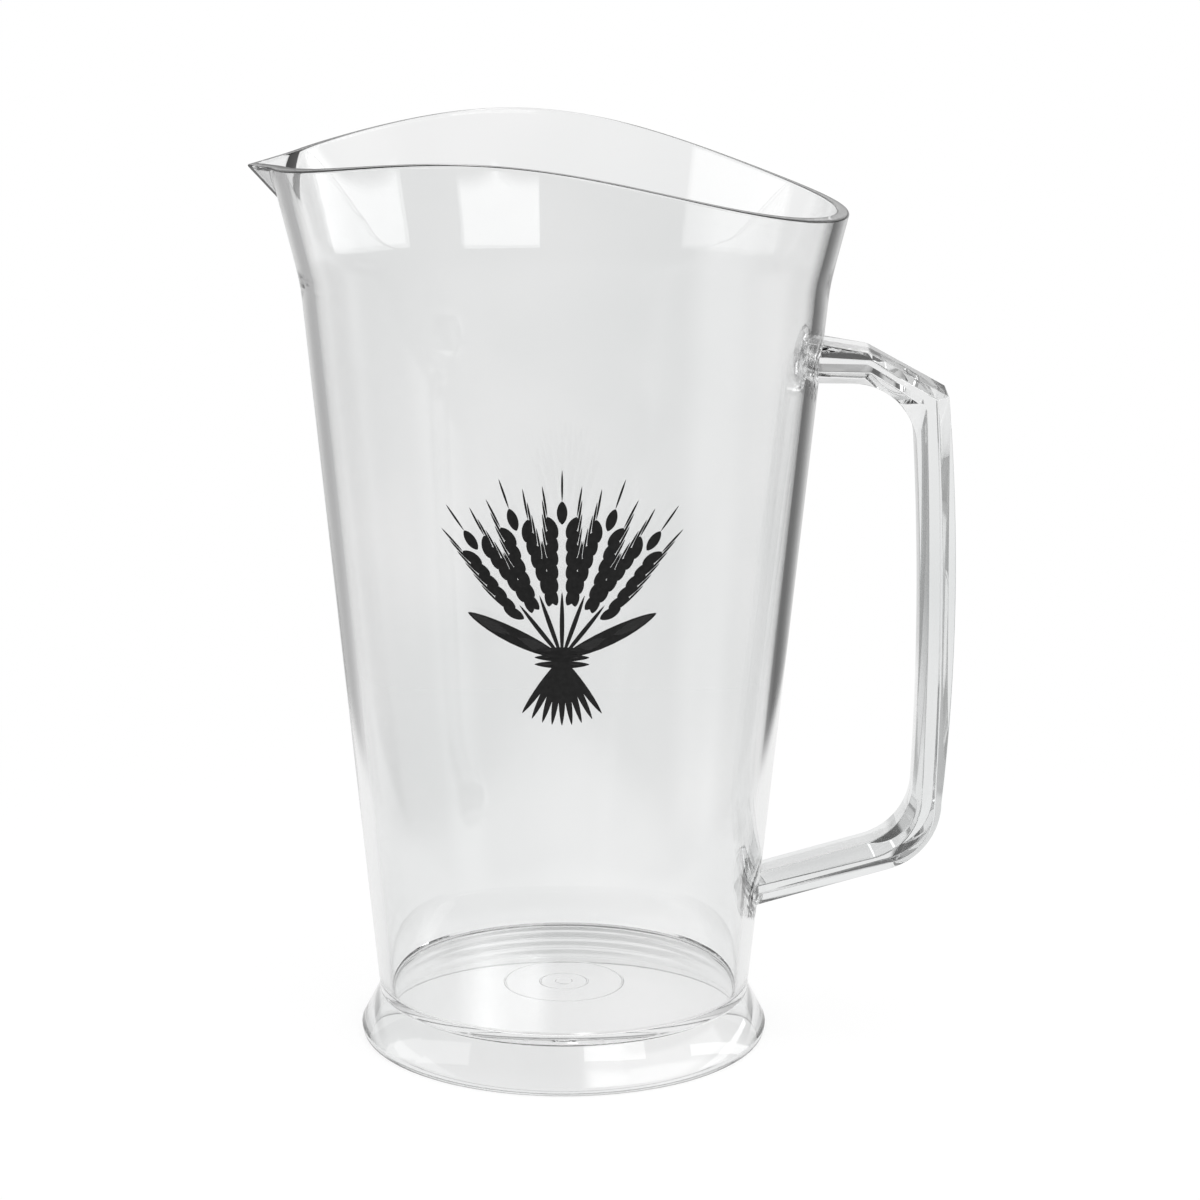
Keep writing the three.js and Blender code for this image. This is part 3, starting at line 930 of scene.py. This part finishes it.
def printed_ink():
    material = bpy.data.materials.new("printed_ink")
    material.use_nodes = True
    nodes, links = material.node_tree.nodes, material.node_tree.links
    shader = nodes["Principled BSDF"]
    shader.inputs["Specular IOR Level"].default_value = INK_GLOSS
    coordinates = nodes.new("ShaderNodeTexCoord")
    speckle = nodes.new("ShaderNodeTexNoise")
    speckle.inputs["Scale"].default_value = SPECKLE_SCALE
    speckle.inputs["Detail"].default_value = SPECKLE_DETAIL
    links.new(coordinates.outputs["Object"], speckle.inputs["Vector"])
    links.new(grey_ramp(material.node_tree, speckle.outputs[0], INK_TONES), shader.inputs["Base Color"])
    sheen = nodes.new("ShaderNodeMapRange")
    sheen.inputs["To Min"].default_value, sheen.inputs["To Max"].default_value = INK_ROUGHNESS
    links.new(speckle.outputs[0], sheen.inputs["Value"])
    links.new(sheen.outputs[0], shader.inputs["Roughness"])
    return material


def math_node(tree, operation, first, second=0.0):
    node = tree.nodes.new("ShaderNodeMath")
    node.operation = operation
    for socket, value in zip(node.inputs, (first, second)):
        feed(tree, socket, value)
    return node.outputs[0]


# One for what is seen straight or through clear plastic, and nothing for what is seen mirrored
def seen_straight(tree):
    light_path = tree.nodes.new("ShaderNodeLightPath")
    unmirrored = math_node(tree, "LESS_THAN", light_path.outputs["Glossy Depth"], 0.5)
    not_lit = math_node(tree, "SUBTRACT", 1.0, light_path.outputs["Is Diffuse Ray"])
    return math_node(tree, "MULTIPLY", unmirrored, not_lit)


# Share of a full turn round the pitcher
def turn_share(tree, coordinate):
    gradient = tree.nodes.new("ShaderNodeTexGradient")
    gradient.gradient_type = "RADIAL"
    tree.links.new(coordinate, gradient.inputs["Vector"])
    return gradient.outputs["Fac"]


# Grey tones along a measure that goes from 0 to 1
def grey_ramp(tree, measure, tones):
    node = tree.nodes.new("ShaderNodeValToRGB")
    tree.links.new(measure, node.inputs[0])
    elements = node.color_ramp.elements
    for _ in tones[2:]:
        elements.new(0.5)
    for element, (place, tone) in zip(elements, tones):
        element.position = place
        element.color = grey(tone)
    return node.outputs[0]


# A smooth change from one socket or value to another while a measure grows
def blend(tree, measure, start, end, before, after):
    share = tree.nodes.new("ShaderNodeMapRange")
    share.interpolation_type = "SMOOTHSTEP"
    share.inputs["From Min"].default_value, share.inputs["From Max"].default_value = start, end
    tree.links.new(measure, share.inputs["Value"])
    mix = tree.nodes.new("ShaderNodeMix")
    mix.data_type = "RGBA"
    tree.links.new(share.outputs[0], mix.inputs["Factor"])
    for place, value in ((MIX_FIRST, before), (MIX_SECOND, after)):
        feed(tree, mix.inputs[place], value if isinstance(value, bpy.types.NodeSocket) else grey(value))
    return mix.outputs[MIX_RESULT]


def mapped(tree, measure, start, end, low, high):
    node = tree.nodes.new("ShaderNodeMapRange")
    node.clamp = False
    for name, value in zip(("From Min", "From Max", "To Min", "To Max"), (start, end, low, high)):
        node.inputs[name].default_value = value
    tree.links.new(measure, node.inputs["Value"])
    return node.outputs[0]


# One well inside a window, whose edges are values or sockets, and nothing or less outside it
def window(tree, *spans):
    reach = 1.0
    for measure, low, high, edge in spans:
        for above, below in ((measure, low), (high, measure)):
            inward = math_node(tree, "DIVIDE", math_node(tree, "SUBTRACT", above, below), edge)
            reach = math_node(tree, "MINIMUM", reach, inward)
    return reach


def make_world():
    world = bpy.data.worlds.new("studio")
    bpy.context.scene.world = world
    world.use_nodes = True
    tree = world.node_tree
    nodes, links = tree.nodes, tree.links
    room = nodes["Background"]
    coordinates = nodes.new("ShaderNodeTexCoord").outputs["Generated"]
    split = nodes.new("ShaderNodeSeparateXYZ")
    links.new(coordinates, split.inputs[0])
    rise = split.outputs["Z"]
    around = turn_share(tree, coordinates)
    height = math_node(tree, "DEGREES", math_node(tree, "ARCSINE", rise))
    tone = grey_ramp(tree, around, ROOM_TONES)
    tone = blend(tree, rise, SWEEP_LOW - SWEEP_LOW_EDGE, SWEEP_LOW + SWEEP_LOW_EDGE, HORIZON_TONE, tone)
    tone = blend(tree, rise, SWEEP_HIGH, SWEEP_HIGH + SWEEP_HIGH_EDGE, tone, OVERHEAD_TONE)
    for start, end, low, high, level, softness in SOFTBOXES:
        low_edge = mapped(tree, around, start, end, *low)
        high_edge = mapped(tree, around, start, end, *high)
        sideways = (around, start, end, softness / FULL_TURN_SOFTNESS)
        inside = window(tree, sideways, (height, low_edge, high_edge, softness))
        tone = blend(tree, inside, 0, 1, tone, level)
    links.new(tone, room.inputs["Color"])
    backdrop = nodes.new("ShaderNodeBackground")
    backdrop_tones = [(math.sin(math.radians(degrees)), tone) for degrees, tone in BACKDROP_TONES]
    camera_ray = nodes.new("ShaderNodeLightPath").outputs["Is Camera Ray"]
    backdrop_tone = grey_ramp(tree, rise, backdrop_tones)
    links.new(blend(tree, camera_ray, 0, 1, backdrop_tone, 1.0), backdrop.inputs["Color"])
    mix = nodes.new("ShaderNodeMixShader")
    links.new(seen_straight(tree), mix.inputs[0])
    links.new(room.outputs[0], mix.inputs[1])
    links.new(backdrop.outputs[0], mix.inputs[2])
    links.new(mix.outputs[0], nodes["World Output"].inputs["Surface"])


def make_ground():
    deselect()
    bpy.ops.mesh.primitive_plane_add(size=GROUND_SIZE * MM, location=placed((0, 0, -GROUND_DROP)))
    ground = bpy.context.object
    ground.name = "ground"
    material = bpy.data.materials.new("pale_ground")
    material.use_nodes = True
    tree = material.node_tree
    nodes, links = tree.nodes, tree.links
    coordinates = nodes.new("ShaderNodeTexCoord").outputs["Object"]

    def length_of(vector):
        node = nodes.new("ShaderNodeVectorMath")
        node.operation = "LENGTH"
        links.new(vector, node.inputs[0])
        return node.outputs["Value"]

    lit = nodes["Principled BSDF"]
    lit.inputs["Base Color"].default_value = grey(GROUND_COLOUR)
    lit.inputs["Roughness"].default_value = GROUND_ROUGHNESS
    white = nodes.new("ShaderNodeEmission")
    white.inputs["Color"].default_value = grey(1)
    from_axis = math_node(tree, "DIVIDE", length_of(coordinates), MM)
    beside = blend(tree, from_axis, FOOT_REACH, FOOT_REACH + FOOT_EDGE, WHITE_UNDER, WHITE_BESIDE)
    straight = nodes.new("ShaderNodeMixShader")
    links.new(blend(tree, from_axis, BESIDE_REACH, FAR_REACH, beside, WHITE_FAR), straight.inputs[0])
    links.new(lit.outputs[0], straight.inputs[1])
    links.new(white.outputs[0], straight.inputs[2])

    around = turn_share(tree, coordinates)
    paper = grey_ramp(tree, around, PAPER_TONES)
    table = grey_ramp(tree, around, TABLE_TONES)
    oval = nodes.new("ShaderNodeMapping")
    oval.inputs["Location"].default_value = (0, -PAPER_MIDDLE_Y / PAPER_HALF_DEPTH, 0)
    oval.inputs["Scale"].default_value = (1 / (PAPER_HALF_WIDTH * MM), 1 / (PAPER_HALF_DEPTH * MM), 1)
    links.new(coordinates, oval.inputs["Vector"])
    tone = blend(tree, length_of(oval.outputs[0]), *PAPER_EDGE, paper, table)
    tone = blend(tree, from_axis, UNDER_SHARE * FOOT_REACH, FOOT_REACH, MIRRORED_UNDER, tone)
    mirrored = nodes.new("ShaderNodeEmission")
    links.new(tone, mirrored.inputs["Color"])
    mix = nodes.new("ShaderNodeMixShader")
    links.new(seen_straight(tree), mix.inputs[0])
    links.new(mirrored.outputs[0], mix.inputs[1])
    links.new(straight.outputs[0], mix.inputs[2])
    links.new(mix.outputs[0], nodes["Material Output"].inputs["Surface"])
    ground.data.materials.append(material)


# Lights the ground from above, and neither shows through the plastic nor is mirrored in it
def make_lamp():
    lamp = bpy.data.lights.new("ground_fill", "AREA")
    lamp.size = FILL_SIZE * MM
    lamp.energy = FILL_LEVEL * math.pi * lamp.size ** 2
    holder = bpy.data.objects.new("ground_fill", lamp)
    bpy.context.collection.objects.link(holder)
    holder.location = Vector(FILL_PLACE) * MM
    holder.rotation_euler = Vector(FILL_FACING).to_track_quat("-Z", "Y").to_euler()
    holder.visible_glossy = holder.visible_transmission = False


def make_camera():
    camera = bpy.data.objects.new("camera", bpy.data.cameras.new("camera"))
    bpy.context.collection.objects.link(camera)
    camera.data.lens = CAMERA_LENS
    camera.data.sensor_width = CAMERA_SENSOR
    camera.location = placed(CAMERA_PLACE)
    camera.rotation_euler = (math.radians(90 - CAMERA_ELEVATION), 0, math.radians(CAMERA_AZIMUTH))
    camera.rotation_euler.rotate_axis("Z", math.radians(CAMERA_ROLL))
    camera.data.clip_start, camera.data.clip_end = (distance * MM for distance in CAMERA_CLIP)
    bpy.context.scene.camera = camera


def assemble():
    marks = moulding_marks()
    bond = bond_line(marks)
    wall, floor, foot, handle = make_wall(), make_floor(), make_foot(), make_handle()
    bond_faces(wall, lambda r, z: (
        z < WALL_FOOT_Z + LEVEL_MARGIN or (z < floor_edge_z and r < inner_radius(z) + BOND_MARGIN)
    ))
    bond_faces(floor, lambda r, z: r > inner_radius(z) - BOND_MARGIN and FLOOR_UNDER_Z < z < floor_edge_z)
    bond_faces(foot, lambda r, z: z > FLOOR_UNDER_Z + BOND_MARGIN and r < WALL_FOOT_RADIUS - GROOVE_ROUND)
    finishes = (WALL_FINISH, FLOOR_FINISH, FOOT_FINISH_AND_PAINTED_SHADE, HANDLE_FINISH)
    for piece, finish in zip((wall, floor, foot, handle), finishes):
        piece.data.materials.append(clear_plastic(piece.name, marks, *finish))
        piece.data.materials.append(bond)
    join_handle(wall, handle)
    shade(wall, WALL_SMOOTH)
    shade(floor, FLOOR_SMOOTH)
    shade(foot, FOOT_SMOOTH)
    shade(handle, HANDLE_SMOOTH)
    apply_modifier(handle, "WEIGHTED_NORMAL", weight=FACE_WEIGHT, keep_sharp=False)
    seat(wall, "clear_plastic", "body_shell")
    seat(floor, "clear_plastic", "floor_disc")
    seat(foot, "clear_plastic", "foot_ring")
    seat(handle, "clear_plastic", "handle")
    sheaf = make_print()
    sheaf.data.materials.append(printed_ink())
    seat(sheaf, "ink")


make_camera()
make_world()
make_ground()
make_lamp()
assemble()

scene = bpy.context.scene
scene.view_settings.view_transform = "Standard"
scene.cycles.max_bounces = PATH_BOUNCES
scene.cycles.transmission_bounces = PATH_BOUNCES
scene.cycles.transparent_max_bounces = PATH_BOUNCES
scene.cycles.glossy_bounces = MIRROR_BOUNCES
